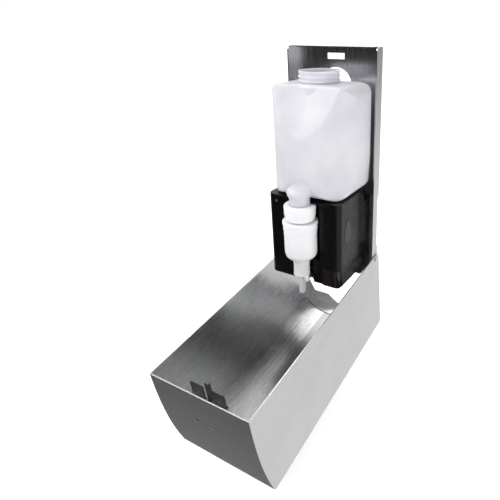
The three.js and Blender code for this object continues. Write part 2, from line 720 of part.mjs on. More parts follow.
function plunger() {
  const body = turned(0, PUMP_Y, [
    [3, 42.4],
    [3, 4.6],
    [5.1, 4.6],
    [5.6, 6],
    [5.6, 12.9],
    [8.2, 12.9],
    [8.75, 13.5],
    [8.75, 36.9],
    [12.1, 36.9],
    [12.1, 38.4],
    [10.9, 38.4],
    [10.9, 40.8],
    [12.1, 40.8],
    [12.1, 42.4],
  ], 32);
  const lug = cut(
    profileX(roundRect(-85.4, -80.4, 7.6, 14.2, [1.5, 0.5, 0.5, 1.5]), 3.6, 10.4, 4),
    tubeZ(0, PUMP_Y, 0, 20, 4, 4, 24),
  );
  return join(body, lug);
}
node("plunger", plunger(), WHITE);
node("piston_ring", turned(0, PUMP_Y, [
  [11.2, 38.7],
  [12.1, 38.7],
  [12.1, 40.5],
  [11.2, 40.5],
], 28), RUBBER);
node("nozzle_tip", turned(0, PUMP_Y, [
  [1.4, 9.6],
  [1.4, -8],
  [1.1, -9.4],
  [2.9, -9.4],
  [3.3, -8.8],
  [3.6, 1],
  [4.4, 2],
  [4.4, 4.3],
  [2.7, 4.3],
  [2.7, 9.6],
], 20), WHITE);

// ---- cover, drawn shut ---------------------------------------------------------------------
const RIM_Y = HINGE_Y + HINGE_TO_RIM;
const yAt = (v) => RIM_Y - v;
const zAt = (u) => HINGE_Z + u;
// Height of the curved top over the hinge, at a depth v from the rim.
const topAt = (v) => {
  const d = v / 100;
  return COVER_TOP - 1.64 * d - 4.89 * d * d - 5.13 * d ** 3;
};
function coverOutline(inset) {
  const points = [];
  const bottom = -COVER_BELOW_HINGE - (inset ? 5 : 0);
  const rim = inset ? -5 : 0;
  const depth = COVER_DEPTH - inset;
  const r = 5 - inset;
  points.push([yAt(rim), zAt(bottom)]);
  points.push([yAt(rim), zAt(topAt(Math.max(rim, 0)) - inset)]);
  const curve = 30;
  const last = depth - r;
  for (let i = 1; i <= curve; i++) {
    const v = (last * i) / curve;
    points.push([yAt(v), zAt(topAt(v) - inset)]);
  }
  const base = topAt(last) - inset - r;
  for (let i = 1; i <= 5; i++) {
    const a = (Math.PI / 2) * (1 - i / 5);
    points.push([yAt(last + r * Math.cos(a)), zAt(base + r * Math.sin(a))]);
  }
  points.push([yAt(depth), zAt(bottom + (inset ? 0 : 2))]);
  if (!inset) points.push([yAt(depth - 2), zAt(bottom)]);
  return outlineShape(points);
}
const KEY_HOLES = [-9.3, 9.3];
const KEY_V = 36;
function coverShell() {
  const inner = COVER_HALF - COVER_SHEET;
  let body = cut(
    profileX(coverOutline(0), -COVER_HALF, COVER_HALF),
    profileX(coverOutline(COVER_SHEET), -inner, inner),
  );
  body = cut(body, tubeX(HINGE_Y, HINGE_Z, -COVER_HALF - 2, COVER_HALF + 2, 2.2));
  for (const x of KEY_HOLES) body = cut(body, tubeZ(x, yAt(KEY_V), 230, 260, 1.7, 1.7, 20));
  return body;
}
function bottomGuard() {
  const half = COVER_HALF - COVER_SHEET - GAP;
  const floor = COVER_DEPTH - COVER_SHEET - GAP;
  const arch = 100.7;
  let leg = box(-half, half, yAt(floor), yAt(floor - 0.8), zAt(-COVER_BELOW_HINGE), zAt(12));
  leg = leg.intersect(tubeY(0, zAt(10 - arch), -200, 10, arch, arch, 120));
  let lip = box(-half, half, yAt(floor), yAt(66), zAt(-COVER_BELOW_HINGE), zAt(-COVER_BELOW_HINGE + 1));
  // the lip is narrow between two corner gussets, with a round relief for the nozzle
  const relief = outlineShape([
    [-49, yAt(60)],
    [49, yAt(60)],
    [49, yAt(67)],
    [40.5, yAt(86)],
    [-40.5, yAt(86)],
    [-49, yAt(67)],
  ]);
  lip = cut(lip, profileZ(relief, -10, 10), tubeZ(0, yAt(72.9), -10, 10, 23.6, 23.6, 40));
  return join(leg, lip);
}
function frontStiffener() {
  const floor = COVER_DEPTH - COVER_SHEET - GAP;
  return profileY(roundRect(-18, 18, zAt(10.6), zAt(75), [1, 1, 2, 2]), yAt(floor), yAt(floor - 0.8), 4);
}
const LEVER_U = 223;
const PIVOT_V = 24;
const EAR_X = 11.6;
const EAR_HALF = 7.2;
const EAR_ROOT = 17.2;
function latchBracket() {
  let body = box(-20, 20, yAt(45), yAt(EAR_ROOT - 0.6), zAt(232), zAt(233));
  body = join(body, box(-20, 20, yAt(EAR_ROOT + 0.4), yAt(EAR_ROOT - 0.6), zAt(225.3), zAt(232.5)));
  for (const s of bothSides) {
    const across = span(s, EAR_X - EAR_HALF, EAR_X + EAR_HALF);
    const tongue = roundRect(...across, yAt(EAR_ROOT), yAt(2.3), [0, 0, 3, 3]);
    body = join(body, profileZ(tongue, zAt(225.3), zAt(226.3), 6));
    const slit = span(s, EAR_X - 0.8, EAR_X + 0.8);
    body = cut(body, box(...slit, yAt(14.5), yAt(8.5), zAt(224), zAt(228)));
    const ear = roundRect(yAt(29), yAt(19), zAt(220.8), zAt(232.5), [4.5, 4.5, 0, 0]);
    body = join(body, profileX(ear, ...span(s, 14, 15), 5));
    body = cut(body, tubeX(yAt(PIVOT_V), zAt(LEVER_U + 1.4), ...span(s, 12, 17), 1.5, 20));
    body = cut(body, tubeZ(s * KEY_HOLES[1], yAt(KEY_V), 220, 260, 2.3, 2.3, 20));
  }
  return cut(body, box(-3.6, 3.6, yAt(19), yAt(0), zAt(220), zAt(229.4)));
}
function latchLever() {
  const pivotZ = zAt(LEVER_U + 1.4);
  let body = join(
    box(-2.4, 2.4, yAt(24), yAt(-1.6), zAt(LEVER_U), zAt(LEVER_U + 2.2)),
    box(-12.5, 12.5, yAt(41), yAt(20), zAt(LEVER_U), zAt(LEVER_U + 2.2)),
    tubeX(yAt(PIVOT_V), pivotZ, -13.4, 13.4, 2.6, 24),
  );
  const barb = outlineShape([
    [yAt(-1.6), zAt(LEVER_U + 0.5)],
    [yAt(-1.2), zAt(LEVER_U - 1.2)],
    [yAt(-0.9), zAt(LEVER_U - 1.3)],
    [yAt(-0.9), zAt(LEVER_U + 0.5)],
  ]);
  body = join(body, profileX(barb, -2.4, 2.4));
  return cut(body, tubeX(yAt(PIVOT_V), pivotZ, -20, 20, 1.5, 20));
}
function latchPin() {
  const along = (x0, x1, r) => tubeX(yAt(PIVOT_V), zAt(LEVER_U + 1.4), x0, x1, r, 20);
  return join(along(-16, 16, 1.2), along(-16.6, -15.3, 2.2), along(15.3, 16.6, 2.2));
}
function latchSpring() {
  const leverTop = zAt(LEVER_U + 2.2);
  return coil(0, yAt(19.8), leverTop + 1.3, zAt(232) - 0.7, 1.6, 0.35, 3, 27);
}
const coverPieces = [
  ["cover", coverShell(), STEEL],
  ["bottom_guard", bottomGuard(), BRIGHT],
  ["front_stiffener", frontStiffener(), GREY],
  ["latch_bracket", latchBracket(), DARK],
  ["latch_lever", latchLever(), DARK],
  ["latch_pin", latchPin(), BRIGHT],
  ["latch_spring", latchSpring(), SPRING],
];
// The open cover is the shut one swung forward and down about the hinge.
const swing = new THREE.Matrix4()
  .makeTranslation(0, HINGE_Y, HINGE_Z)
  .multiply(new THREE.Matrix4().makeRotationX((OPEN_ANGLE * Math.PI) / 180))
  .multiply(move(0, -HINGE_Y, -HINGE_Z));
for (const [name, body, material] of coverPieces) {
  node(name, body, material).applyMatrix4(swing);
}

group.position.set(0, -STAND_OFF, -PAD_Z);
export default group;
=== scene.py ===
import json
import math

import bmesh
import bpy
from mathutils import Matrix, Vector


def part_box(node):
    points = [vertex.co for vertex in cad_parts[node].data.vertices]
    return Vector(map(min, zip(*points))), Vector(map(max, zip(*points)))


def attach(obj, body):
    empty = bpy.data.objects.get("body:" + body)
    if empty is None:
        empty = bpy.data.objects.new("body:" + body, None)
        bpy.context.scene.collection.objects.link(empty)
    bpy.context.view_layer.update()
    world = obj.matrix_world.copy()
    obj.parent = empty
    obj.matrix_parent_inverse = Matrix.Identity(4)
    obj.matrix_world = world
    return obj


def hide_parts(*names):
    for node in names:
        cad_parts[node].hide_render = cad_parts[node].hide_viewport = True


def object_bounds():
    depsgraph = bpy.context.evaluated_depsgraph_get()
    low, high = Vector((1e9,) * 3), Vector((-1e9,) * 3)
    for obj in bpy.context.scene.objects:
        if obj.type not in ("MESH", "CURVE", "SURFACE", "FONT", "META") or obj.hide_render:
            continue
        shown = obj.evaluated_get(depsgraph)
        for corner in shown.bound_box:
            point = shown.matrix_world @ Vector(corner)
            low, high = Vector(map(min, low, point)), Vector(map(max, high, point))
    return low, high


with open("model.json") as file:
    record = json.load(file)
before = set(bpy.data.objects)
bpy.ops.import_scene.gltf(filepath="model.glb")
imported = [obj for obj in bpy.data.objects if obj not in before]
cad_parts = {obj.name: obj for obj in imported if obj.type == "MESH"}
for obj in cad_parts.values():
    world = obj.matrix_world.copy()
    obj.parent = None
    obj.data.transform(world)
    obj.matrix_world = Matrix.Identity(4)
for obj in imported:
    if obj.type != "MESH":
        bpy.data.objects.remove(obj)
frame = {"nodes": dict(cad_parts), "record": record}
NODES = frame["nodes"]
RECORD = frame["record"]
CAD_BOX = [list(corner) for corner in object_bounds()]

# ---- places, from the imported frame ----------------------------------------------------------
PLATE_LOW, PLATE_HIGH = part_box("back_plate")
MM = 0.001
STAND_OFF = 2.0  # the wall pads stand this far behind the sheet


def at(x, y, z):
    """A place in millimetres across, in front of (-) the plate's rear face, and above its foot."""
    return Vector((x * MM, PLATE_HIGH.y + (y - STAND_OFF) * MM, PLATE_LOW.z + z * MM))


def centre(node):
    low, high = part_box(node)
    return (low + high) / 2


PUMP_AXIS = centre("pump_body")
NECK_AXIS = at(0, -36.5, 0)
OPEN_ANGLE = math.radians(97)


# ---- camera, floor and light ----------------------------------------------------------------
AZIMUTH, ELEVATION, ROLL = (math.radians(a) for a in (29.135, 20.345, -0.538))
CAMERA_AT = at(236.3, -440.5, 268.0)
LENS = 32.89
SHIFT = (-0.16, -0.12)


def make_camera():
    side = Vector((math.cos(AZIMUTH), math.sin(AZIMUTH), 0))
    tilt = math.sin(ELEVATION)
    lift = Vector((-math.sin(AZIMUTH) * tilt, math.cos(AZIMUTH) * tilt, math.cos(ELEVATION)))
    right = side * math.cos(ROLL) + lift * math.sin(ROLL)
    up = lift * math.cos(ROLL) - side * math.sin(ROLL)
    back = right.cross(up)
    data = bpy.data.cameras.new("camera")
    data.lens = LENS
    data.shift_x, data.shift_y = SHIFT
    data.clip_start, data.clip_end = 0.01, 50
    cam = bpy.data.objects.new("camera", data)
    turn = Matrix((right, up, back)).transposed().to_4x4()
    cam.matrix_world = Matrix.Translation(CAMERA_AT) @ turn
    bpy.context.collection.objects.link(cam)
    bpy.context.scene.camera = cam
    bpy.context.scene.view_settings.view_transform = "Standard"


FLOOR_SIZE = 60
FLOOR_DROP = 0.03
FLOOR_GLOW = 0.55


def make_floor():
    low = CAD_BOX[0][2] - FLOOR_DROP
    bpy.ops.mesh.primitive_plane_add(size=FLOOR_SIZE, location=(0, 0, low))
    floor = bpy.context.object
    floor.name = "floor"
    mat = bpy.data.materials.new("pale_floor")
    mat.use_nodes = True
    bsdf = mat.node_tree.nodes["Principled BSDF"]
    bsdf.inputs["Base Color"].default_value = (0.9, 0.9, 0.9, 1)
    bsdf.inputs["Roughness"].default_value = 0.8
    bsdf.inputs["Emission Color"].default_value = (1, 1, 1, 1)
    bsdf.inputs["Emission Strength"].default_value = FLOOR_GLOW
    floor.data.materials.append(mat)
    floor.visible_glossy = False


# Each unlit part: the way it lies, the cosines where it starts and ends, and the light left in it.
DARK_ENDS = (
    ((-0.42, -0.90, -0.12), 0.45, 0.85, 0.02),
    ((-0.60, -0.25, -0.76), 0.25, 0.75, 0.2),
    ((0.75, 0.55, 0.35), 0.68, 0.92, 0.02),
)


RAMP_INPUTS = ("From Min", "From Max", "To Min", "To Max")


def make_world():
    """A white studio. Reflections find it unlit in front, low at the left, and behind at the right."""
    world = bpy.data.worlds.new("studio")
    bpy.context.scene.world = world
    world.use_nodes = True
    tree = world.node_tree
    back = tree.nodes["Background"]
    back.inputs["Strength"].default_value = 1.0
    coord = tree.nodes.new("ShaderNodeTexCoord")
    light = None
    for way, start, end, dim in DARK_ENDS:
        dot = tree.nodes.new("ShaderNodeVectorMath")
        dot.operation = "DOT_PRODUCT"
        dot.inputs[1].default_value = Vector(way).normalized()
        ramp = tree.nodes.new("ShaderNodeMapRange")
        ramp.interpolation_type = "SMOOTHERSTEP"
        for key, value in zip(RAMP_INPUTS, (start, end, 1.0, dim)):
            ramp.inputs[key].default_value = value
        tree.links.new(coord.outputs["Generated"], dot.inputs[0])
        tree.links.new(dot.outputs["Value"], ramp.inputs["Value"])
        both = tree.nodes.new("ShaderNodeMath")
        both.operation = "MULTIPLY"
        both.inputs[0].default_value = 1.0
        if light:
            tree.links.new(light, both.inputs[0])
        tree.links.new(ramp.outputs["Result"], both.inputs[1])
        light = both.outputs["Value"]
    seen = tree.nodes.new("ShaderNodeLightPath")
    plain = tree.nodes.new("ShaderNodeMath")
    plain.operation = "MAXIMUM"
    tree.links.new(light, plain.inputs[0])
    tree.links.new(seen.outputs["Is Camera Ray"], plain.inputs[1])
    tree.links.new(plain.outputs["Value"], back.inputs["Color"])


def area_light(name, place, aim, width, height, power):
    data = bpy.data.lights.new(name, "AREA")
    data.shape = "RECTANGLE"
    data.size, data.size_y = width, height
    data.energy = power
    lamp = bpy.data.objects.new(name, data)
    lamp.location = place
    lamp.rotation_mode = "QUATERNION"
    lamp.rotation_quaternion = (Vector(aim) - Vector(place)).to_track_quat("-Z", "Y")
    bpy.context.collection.objects.link(lamp)
    return lamp


make_camera()
make_floor()
make_world()
area_light("key", (-0.9, -0.9, 1.1), (0, -0.05, 0), 0.9, 0.9, 18)
sheen = area_light("sheen", (-0.15, 0.65, 1.15), (0, -0.15, -0.2), 0.5, 0.85, 9)
sheen.visible_diffuse = False
sheen.visible_transmission = False
area_light("fill", (1.2, -0.5, 0.5), (0, -0.05, -0.05), 0.8, 1.2, 5)

# ---- materials --------------------------------------------------------------------------------


class Surface:
    """A Principled material with helpers for the nodes that vary it."""

    def __init__(self, name, **values):
        self.mat = bpy.data.materials.new(name)
        self.mat.use_nodes = True
        self.tree = self.mat.node_tree
        self.bsdf = self.tree.nodes["Principled BSDF"]
        self.coord = self.add("ShaderNodeTexCoord")
        for socket, value in values.items():
            self.bsdf.inputs[socket.replace("_", " ")].default_value = value

    def add(self, kind, **settings):
        node = self.tree.nodes.new(kind)
        for key, value in settings.items():
            setattr(node, key, value)
        return node

    def link(self, source, target):
        self.tree.links.new(source, target)

    def place(self, scale=(1, 1, 1), turn=0.0):
        """Object coordinates, turned about X by an angle, then scaled."""
        turned = self.add("ShaderNodeMapping")
        turned.inputs["Rotation"].default_value = (turn, 0, 0)
        scaled = self.add("ShaderNodeMapping")
        scaled.inputs["Scale"].default_value = scale
        self.link(self.coord.outputs["Object"], turned.inputs["Vector"])
        self.link(turned.outputs["Vector"], scaled.inputs["Vector"])
        return scaled.outputs["Vector"]

    def noise(self, scale, detail=3.0, rough=0.5, vector=None):
        node = self.add("ShaderNodeTexNoise")
        node.inputs["Scale"].default_value = scale
        node.inputs["Detail"].default_value = detail
        node.inputs["Roughness"].default_value = rough
        self.link(vector or self.coord.outputs["Object"], node.inputs["Vector"])
        return node.outputs["Fac"]

    def span(self, source, low, high, new_low, new_high):
        node = self.add("ShaderNodeMapRange")
        for key, value in zip(RAMP_INPUTS, (low, high, new_low, new_high)):
            node.inputs[key].default_value = value
        self.link(source, node.inputs["Value"])
        return node.outputs["Result"]

    def sums(self, operation, a, b):
        node = self.add("ShaderNodeMath", operation=operation)
        for socket, value in zip(node.inputs, (a, b)):
            if isinstance(value, (int, float)):
                socket.default_value = value
            else:
                self.link(value, socket)
        return node.outputs["Value"]

    def blend(self, factor, a, b):
        node = self.add("ShaderNodeMix", data_type="RGBA")
        self.link(factor, node.inputs["Factor"])
        for key, value in (("A", a), ("B", b)):
            target = next(s for s in node.inputs if s.name == key and s.type == "RGBA")
            if isinstance(value, tuple):
                target.default_value = (*value, 1)
            else:
                self.link(value, target)
        return next(s for s in node.outputs if s.type == "RGBA")

    def colour(self, source):
        self.link(source, self.bsdf.inputs["Base Color"])

    def roughness(self, source):
        self.link(source, self.bsdf.inputs["Roughness"])

    def bump(self, height, strength, distance):
        node = self.add("ShaderNodeBump")
        node.inputs["Strength"].default_value = strength
        node.inputs["Distance"].default_value = distance
        self.link(height, node.inputs["Height"])
        self.link(node.outputs["Normal"], self.bsdf.inputs["Normal"])


def shade(colour, factor):
    return tuple(min(1.0, c * factor) for c in colour)


STRETCH = 0.85
QUARTER_TURN = 0.25


def brushed(name, base, rough, turn=0.0, contrast=0.05, strength=0.1):
    """Sheet steel with its grain along the sheet's length, and along X on the faces across it."""
    s = Surface(name, Metallic=1.0)
    fine, long_ = 2600.0, 14.0
    lengthwise = s.noise(1.0, 4.0, 0.65, s.place((fine, fine, long_), turn))
    crosswise = s.noise(1.0, 4.0, 0.65, s.place((long_, fine, fine), turn))
    turned = s.add("ShaderNodeMapping")
    turned.inputs["Rotation"].default_value = (turn, 0, 0)
    s.link(s.coord.outputs["Normal"], turned.inputs["Vector"])
    split = s.add("ShaderNodeSeparateXYZ")
    s.link(turned.outputs["Vector"], split.inputs["Vector"])
    facing = s.sums("GREATER_THAN", s.sums("ABSOLUTE", split.outputs["Z"], 0.0), 0.75)
    pick = s.add("ShaderNodeMix", data_type="FLOAT")
    s.link(facing, pick.inputs["Factor"])
    s.link(lengthwise, pick.inputs["A"])
    s.link(crosswise, pick.inputs["B"])
    grain = pick.outputs["Result"]
    space = {"vector_type": "VECTOR", "convert_from": "OBJECT", "convert_to": "WORLD"}
    along = s.add("ShaderNodeVectorTransform", **space)
    choose = s.add("ShaderNodeMix", data_type="VECTOR")
    ends = [socket for socket in choose.inputs if socket.type == "VECTOR" and socket.name in "AB"]
    ends[0].default_value = Matrix.Rotation(-turn, 3, "X") @ Vector((0, 0, 1))
    ends[1].default_value = (1, 0, 0)
    s.link(facing, choose.inputs["Factor"])
    s.link(next(socket for socket in choose.outputs if socket.type == "VECTOR"), along.inputs["Vector"])
    s.link(along.outputs["Vector"], s.bsdf.inputs["Tangent"])
    s.bsdf.inputs["Anisotropic"].default_value = STRETCH
    s.bsdf.inputs["Anisotropic Rotation"].default_value = QUARTER_TURN
    smudge = s.noise(23.0, 5.0, 0.6)
    scuff = s.noise(160.0, 3.0, 0.7)
    rolled = s.span(smudge, 0.35, 0.65, rough - 0.012, rough + 0.018)
    s.roughness(s.sums("ADD", rolled, s.span(grain, 0.3, 0.7, -0.05, 0.07)))
    streak = s.span(grain, 0.3, 0.7, 0.0, 1.0)
    tone = s.blend(streak, shade(base, 1 - contrast), shade(base, 1 + contrast))
    s.colour(s.blend(s.span(scuff, 0.55, 0.75, 0.0, 0.25), tone, shade(base, 0.9)))
    s.bump(grain, strength, 0.00003)
    return s.mat


def moulded(name, base, rough, peel=0.12, tint=0.12, grain_scale=900.0, **values):
    """Injection moulded plastic: a fine skin texture, faint flow marks and handling dulling."""
    s = Surface(name, **values)
    flow = s.noise(38.0, 4.0, 0.55)
    skin = s.noise(grain_scale, 2.0, 0.5)
    dull = s.noise(120.0, 4.0, 0.7)
    s.colour(s.blend(s.span(flow, 0.35, 0.65, 0.0, 1.0), shade(base, 1 - tint), shade(base, 1 + tint)))
    worn = s.span(dull, 0.4, 0.7, rough - 0.03, rough + 0.07)
    s.roughness(s.sums("ADD", worn, s.span(skin, 0.3, 0.7, -0.02, 0.02)))
    s.bump(skin, peel, 0.00004)
    return s.mat


def milky():
    """Blow moulded polyethylene: soft light inside, thickness clouds and fine vertical flow lines."""
    s = Surface("bottle_milky")
    s.bsdf.inputs["IOR"].default_value = 1.5
    s.bsdf.inputs["Transmission Weight"].default_value = 0.10
    s.bsdf.inputs["Subsurface Weight"].default_value = 0.55
    s.bsdf.inputs["Subsurface Radius"].default_value = (0.9, 0.9, 1.0)
    s.bsdf.inputs["Subsurface Scale"].default_value = 0.006
    cloud = s.noise(26.0, 4.0, 0.55)
    flow = s.noise(1.0, 3.0, 0.5, s.place((420.0, 420.0, 18.0)))
    skin = s.noise(1500.0, 2.0, 0.5)
    s.colour(s.blend(s.span(cloud, 0.3, 0.7, 0.0, 1.0), (0.61, 0.605, 0.67), (0.72, 0.715, 0.77)))
    s.roughness(s.sums("ADD", s.span(cloud, 0.3, 0.7, 0.33, 0.42), s.span(skin, 0.3, 0.7, -0.03, 0.03)))
    s.bump(s.sums("ADD", s.sums("MULTIPLY", flow, 0.6), s.sums("MULTIPLY", skin, 0.4)), 0.10, 0.0002)
    return s.mat


def board():
    """Solder mask over copper tracks."""
    s = Surface("circuit_board")
    tracks = s.add("ShaderNodeTexBrick")
    tracks.inputs["Scale"].default_value = 190.0
    tracks.inputs["Mortar Size"].default_value = 0.03
    tracks.inputs["Color1"].default_value = (0.02, 0.17, 0.07, 1)
    tracks.inputs["Color2"].default_value = (0.03, 0.21, 0.09, 1)
    tracks.inputs["Mortar"].default_value = (0.09, 0.33, 0.12, 1)
    s.link(s.place((1, 1, 1), math.radians(90)), tracks.inputs["Vector"])
    s.colour(tracks.outputs["Color"])
    s.roughness(s.span(s.noise(300.0), 0.3, 0.7, 0.3, 0.45))
    s.bump(tracks.outputs["Fac"], 0.3, 0.00005)
    return s.mat


def jacket():
    """A cell's sleeve: a plain colour with a copper coloured band at its upper end."""
    s = Surface("cell_jacket", Metallic=0.6)
    split = s.add("ShaderNodeSeparateXYZ")
    s.link(s.coord.outputs["Object"], split.inputs["Vector"])
    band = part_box("battery_1")[1].z - 0.014
    top = s.sums("GREATER_THAN", split.outputs["Z"], band)
    rub = s.noise(220.0, 4.0, 0.7)
    body = s.blend(s.span(rub, 0.4, 0.7, 0.0, 1.0), (0.05, 0.12, 0.22), (0.08, 0.17, 0.28))
    s.colour(s.blend(top, body, (0.55, 0.30, 0.14)))
    s.roughness(s.span(rub, 0.3, 0.7, 0.25, 0.4))
    return s.mat


SHEET_GREY = (0.62, 0.625, 0.63)
MATERIALS = {
    "stainless": brushed("stainless", SHEET_GREY, 0.27),
    "stainless_cover": brushed("stainless_cover", SHEET_GREY, 0.25, -OPEN_ANGLE),
    "bright_steel": brushed("bright_steel", (0.70, 0.70, 0.71), 0.2, -OPEN_ANGLE, 0.06),
    "dark_steel": brushed("dark_steel", (0.13, 0.132, 0.135), 0.34, -OPEN_ANGLE, 0.12),
    "stiffener_grey": brushed("stiffener_grey", (0.36, 0.365, 0.37), 0.42, -OPEN_ANGLE, 0.12),
    "housing_black": moulded(
        "housing_black", (0.003, 0.003, 0.0034), 0.30, 0.05, 0.1, Specular_IOR_Level=0.22
    ),
    "inner_plastic": moulded("inner_plastic", (0.022, 0.022, 0.024), 0.5, 0.3, 0.2),
    "emblem_grey": moulded("emblem_grey", (0.026, 0.026, 0.028), 0.45, 0.3, 0.15),
    "sensor_window": moulded("sensor_window", (0.010, 0.006, 0.009), 0.10, 0.03, 0.3, 500.0),
    "light_guide": moulded("light_guide", (0.12, 0.13, 0.125), 0.25, 0.1, 0.1, Transmission_Weight=0.3),
    "circuit_board": board(),
    "drive_plastic": moulded("drive_plastic", (0.80, 0.80, 0.77), 0.45, 0.2, 0.05),
    "brass": brushed("brass", (0.70, 0.52, 0.24), 0.3),
    "motor_can": brushed("motor_can", (0.45, 0.46, 0.48), 0.32),
    "cell_jacket": jacket(),
    "contact_metal": brushed("contact_metal", (0.72, 0.70, 0.64), 0.25),
    "bottle_milky": milky(),
    "pump_white": moulded("pump_white", (0.79, 0.79, 0.81), 0.34, 0.10, 0.03, Subsurface_Weight=0.2),
    "seal_rubber": moulded("seal_rubber", (0.05, 0.05, 0.05), 0.65, 0.4, 0.2),
    "spring_wire": brushed("spring_wire", (0.55, 0.56, 0.57), 0.22),
}
MATERIALS["pump_white"].node_tree.nodes["Principled BSDF"].inputs["Subsurface Scale"].default_value = 0.003

# ---- CAD nodes that keep their shape ---------------------------------------------------------
SMOOTH_BELOW = math.radians(32)
WELD = 0.000005


def smoothing_group():
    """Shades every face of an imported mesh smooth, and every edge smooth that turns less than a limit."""
    group = bpy.data.node_groups.new("smooth_facets", "GeometryNodeTree")
    group.interface.new_socket("Geometry", in_out="INPUT", socket_type="NodeSocketGeometry")
    group.interface.new_socket("Geometry", in_out="OUTPUT", socket_type="NodeSocketGeometry")
    new = group.nodes.new
    start = new("NodeGroupInput")
    end = new("NodeGroupOutput")
    faces = new("GeometryNodeSetShadeSmooth")
    edges = new("GeometryNodeSetShadeSmooth")
    edges.domain = "EDGE"
    angle = new("GeometryNodeInputMeshEdgeAngle")
    compare = new("FunctionNodeCompare")
    compare.data_type = "FLOAT"
    compare.operation = "LESS_THAN"
    compare.inputs["B"].default_value = SMOOTH_BELOW
    link = group.links.new
    link(start.outputs[0], faces.inputs["Geometry"])
    link(faces.outputs[0], edges.inputs["Geometry"])
    link(angle.outputs["Unsigned Angle"], compare.inputs["A"])
    link(compare.outputs["Result"], edges.inputs["Shade Smooth"])
    link(edges.outputs[0], end.inputs[0])
    return group


SMOOTHING = smoothing_group()


def soften(obj, width, segments=2):
    """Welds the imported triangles, clears flat joins, rounds sharp edges and smooths curved facets."""
    weld = obj.modifiers.new("weld", "WELD")
    weld.merge_threshold = WELD
    flat = obj.modifiers.new("flat", "DECIMATE")
    flat.decimate_type = "DISSOLVE"
    flat.angle_limit = math.radians(0.6)
    if width:
        bevel = obj.modifiers.new("bevel", "BEVEL")
        bevel.width = width * MM
        bevel.segments = segments
        bevel.limit_method = "ANGLE"
        bevel.angle_limit = math.radians(40)
        bevel.use_clamp_overlap = True
        bevel.harden_normals = False
        bevel.miter_outer = "MITER_ARC"
    smooth = obj.modifiers.new("smooth", "NODES")
    smooth.node_group = SMOOTHING
    normals = obj.modifiers.new("normals", "WEIGHTED_NORMAL")
    normals.keep_sharp = True
    normals.weight = 100


COVER_PARTS = ("cover", "bottom_guard", "front_stiffener", "latch_bracket", "latch_lever", "latch_pin")
EDGE = {
    "back_plate": 0.25,
    "cover": 0.35,
    "bottom_guard": 0.2,
    "front_stiffener": 0.2,
    "latch_bracket": 0.2,
    "latch_lever": 0.3,
    "housing_front": 0.5,
    "housing_rear": 0.5,
    "sensor_lens": 0.35,
    "battery_tray": 0.4,
    "gear_plate": 0.3,
    "gear_motor": 0.4,
    "droplet_emblem": 0.12,
    "lift_yoke": 0.3,
}
DEFAULT_EDGE = 0.12
slots = {row["node"]: row["material_slot"] for row in RECORD["subparts"]}
for name, node in NODES.items():
    chosen = slots[name]
    if name in COVER_PARTS and chosen == "stainless":
        chosen = "stainless_cover"
    node.data.materials.clear()
    node.data.materials.append(MATERIALS[chosen])
    soften(node, EDGE.get(name, DEFAULT_EDGE))

# ---- turned and blown pieces ------------------------------------------------------------------


BODY_OF = {node: body for body, nodes in RECORD["behaviour"]["bodies"].items() for node in nodes}


def new_piece(name, mesh, node, replaces=True):
    """A mesh that moves with a CAD node, has its finish, and stands for it or is one more piece of it."""
    obj = bpy.data.objects.new(name, mesh)
    bpy.context.collection.objects.link(obj)
    mesh.materials.clear()
    mesh.materials.append(MATERIALS[slots[node]])
    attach(obj, BODY_OF[node])
    if replaces:
        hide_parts(node)
    return obj


def shade_by_angle(mesh, limit=32):
    mesh.shade_smooth()
    mesh.set_sharp_from_angle(angle=math.radians(limit))


def rounded(outline, radius, steps=4):
    """The closed outline with each corner replaced by an arc, where there is room for it."""
    made = []
    count = len(outline)
    for i, corner in enumerate(outline):
        here = Vector(corner[:2])
        before = Vector(outline[i - 1][:2]) - here
        after = Vector(outline[(i + 1) % count][:2]) - here
        if corner[0] <= 0 or before.length == 0 or after.length == 0:
            made.append(here)
            continue
        wanted = corner[2] if len(corner) > 2 else radius
        room = min(before.length, after.length) * 0.45
        cut = min(wanted, room)
        a = here + before.normalized() * cut
        b = here + after.normalized() * cut
        for k in range(steps + 1):
            t = k / steps
            made.append(a * (1 - t) ** 2 + here * 2 * t * (1 - t) + b * t * t)
    return made


def turned(outline, axis, radius=0.4, sides=96, ripple=None):
    """A mesh of revolution about a vertical axis from a closed outline of (radius, height) in millimetres."""
    bm = bmesh.new()
    path = rounded(outline, radius)
    rings = []
    for p in path:
        ring = []
        for k in range(sides):
            a = 2 * math.pi * k / sides
            r = p.x + (ripple(p.x, p.y, a) if ripple else 0.0)
            place = Vector((axis.x + r * MM * math.cos(a), axis.y + r * MM * math.sin(a), at(0, 0, p.y).z))
            ring.append(bm.verts.new(place))
        rings.append(ring)
    for i, ring in enumerate(rings):
        following = rings[(i + 1) % len(rings)]
        for k in range(sides):
            m = (k + 1) % sides
            bm.faces.new((ring[k], ring[m], following[m], following[k]))
    bmesh.ops.recalc_face_normals(bm, faces=bm.faces)
    if bm.calc_volume(signed=True) < 0:
        bmesh.ops.reverse_faces(bm, faces=bm.faces)
    mesh = bpy.data.meshes.new("turned")
    bm.to_mesh(mesh)
    bm.free()
    shade_by_angle(mesh)
    return mesh


def collar_ribs(r, z, a):
    return 0.28 * max(0.0, math.cos(36 * a)) ** 0.5 if r > 15.3 and 84.6 < z < 92.6 else 0.0


